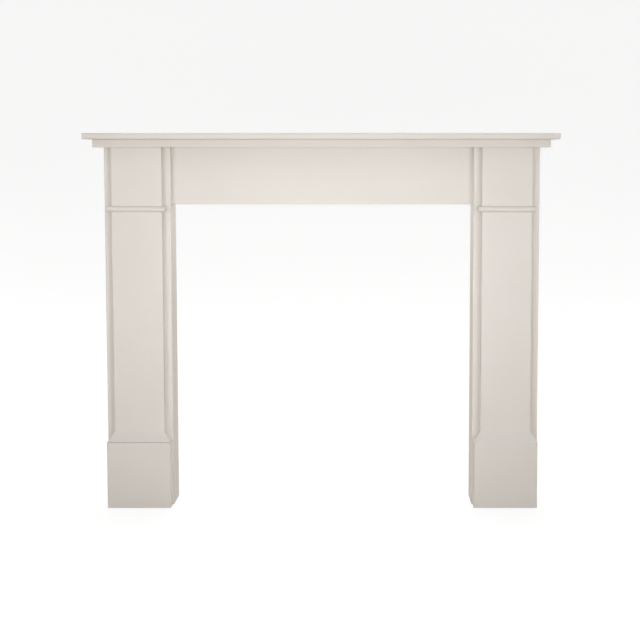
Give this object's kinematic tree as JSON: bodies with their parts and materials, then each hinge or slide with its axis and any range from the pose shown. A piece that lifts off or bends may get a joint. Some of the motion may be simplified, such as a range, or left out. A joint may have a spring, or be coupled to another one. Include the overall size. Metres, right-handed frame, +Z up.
{
  "type": "fireplace mantelpiece",
  "caption": "Painted timber fireplace surround: pilaster legs with raised panels and necking beads on plinths, a set-back frieze and a two-board shelf.",
  "frame": {"origin": "on the floor, under the middle of the shelf: the bottom centre of the whole surround's bounding box", "axes": "+Z up, +Y towards the wall that the surround stands against, +X to the right for someone facing it"},
  "size_m": [1.414, 0.161, 1.137],
  "materials": {
    "paint_shelf": "satin off-white paint on MDF",
    "paint_legs": "satin off-white paint on MDF",
    "paint_trim": "satin off-white paint on timber moulding",
    "paint_frieze": "satin off-white paint on MDF"
  },
  "bodies": {
    "root": {"shelf_board": "paint_shelf", "bed_board": "paint_shelf", "frieze_board": "paint_frieze", "left_face_board": "paint_legs", "left_inner_return": "paint_legs", "left_outer_return": "paint_legs", "left_raised_panel": "paint_legs", "left_necking_bead": "paint_trim", "left_plinth_cap": "paint_trim", "left_plinth_block": "paint_trim", "right_face_board": "paint_legs", "right_inner_return": "paint_legs", "right_outer_return": "paint_legs", "right_raised_panel": "paint_legs", "right_necking_bead": "paint_trim", "right_plinth_cap": "paint_trim", "right_plinth_block": "paint_trim"}
  },
  "joints": []
}
